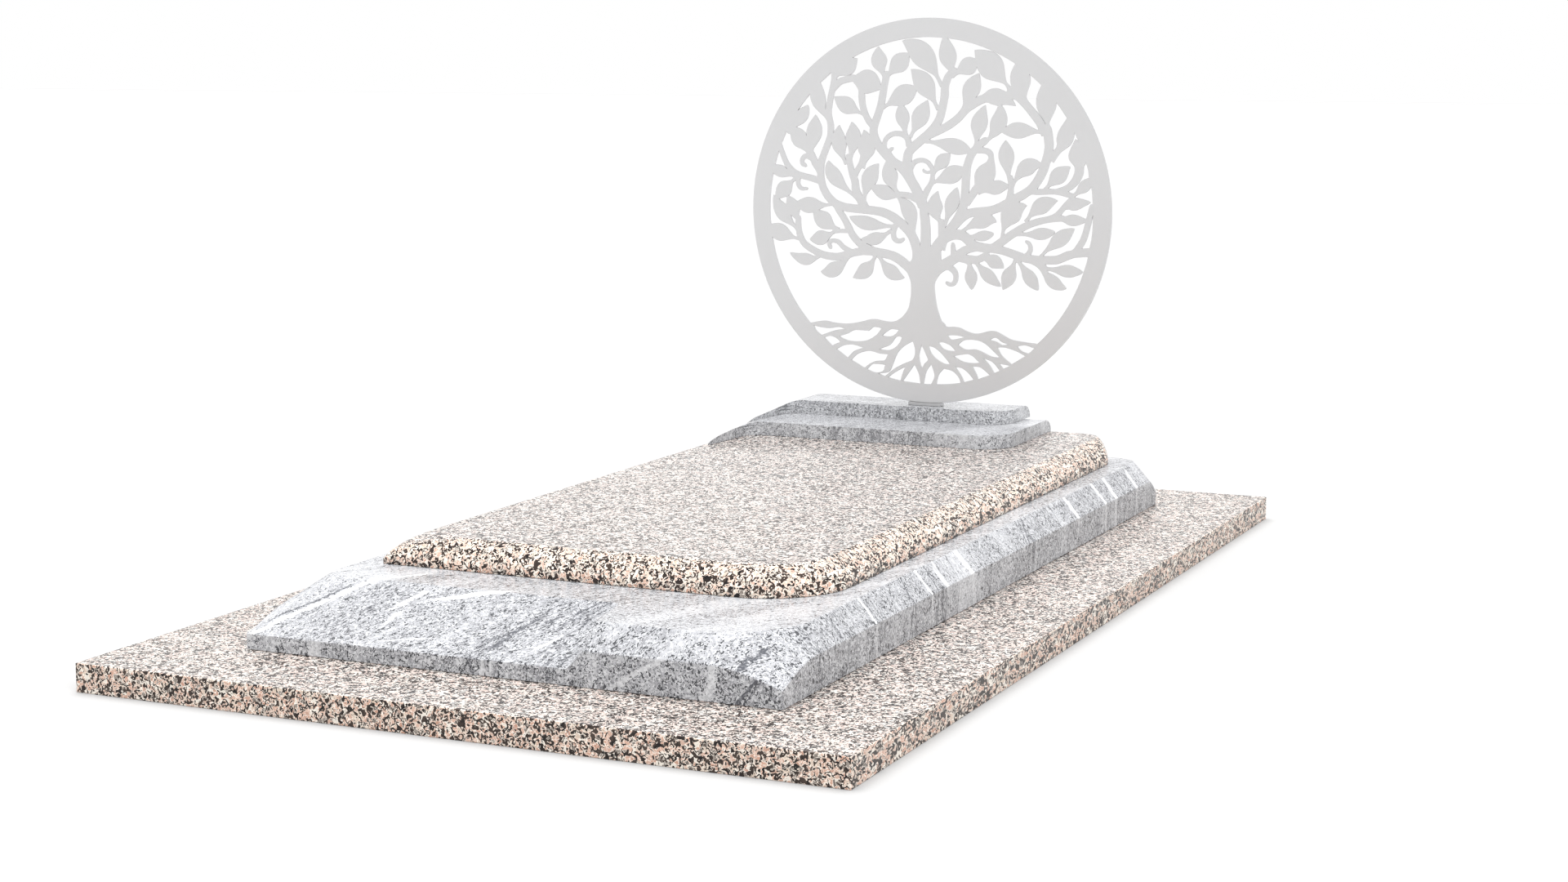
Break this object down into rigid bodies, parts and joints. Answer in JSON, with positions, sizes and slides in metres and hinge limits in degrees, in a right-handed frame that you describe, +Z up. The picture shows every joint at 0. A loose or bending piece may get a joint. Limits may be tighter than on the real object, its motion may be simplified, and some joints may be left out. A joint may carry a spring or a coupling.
{
  "type": "grave monument",
  "caption": "Low granite grave monument: stepped slabs with rounded and chamfered edges, and an upright metal ring at the head with a tree of life cut out of it.",
  "frame": {"origin": "under the centre of the ground slab, on the ground", "axes": "+Z up, +Y to the head end where the disc stands, -Y to the foot end that faces the visitor, +X to the visitor's right"},
  "size_m": [1.4, 2.4, 1.1202],
  "materials": {
    "pink_granite": null,
    "pink_granite_cover": null,
    "grey_granite": null,
    "grey_granite_lower_step": null,
    "grey_granite_upper_step": null,
    "disc_metal": "matt light grey metal sheet",
    "foot_metal": "matt light grey metal"
  },
  "bodies": {
    "root": {"ground_slab": "pink_granite", "base_block": "grey_granite", "cover_slab": "pink_granite_cover", "lower_step": "grey_granite_lower_step", "upper_step": "grey_granite_upper_step", "disc_foot": "foot_metal", "tree_disc": "disc_metal"}
  },
  "joints": []
}
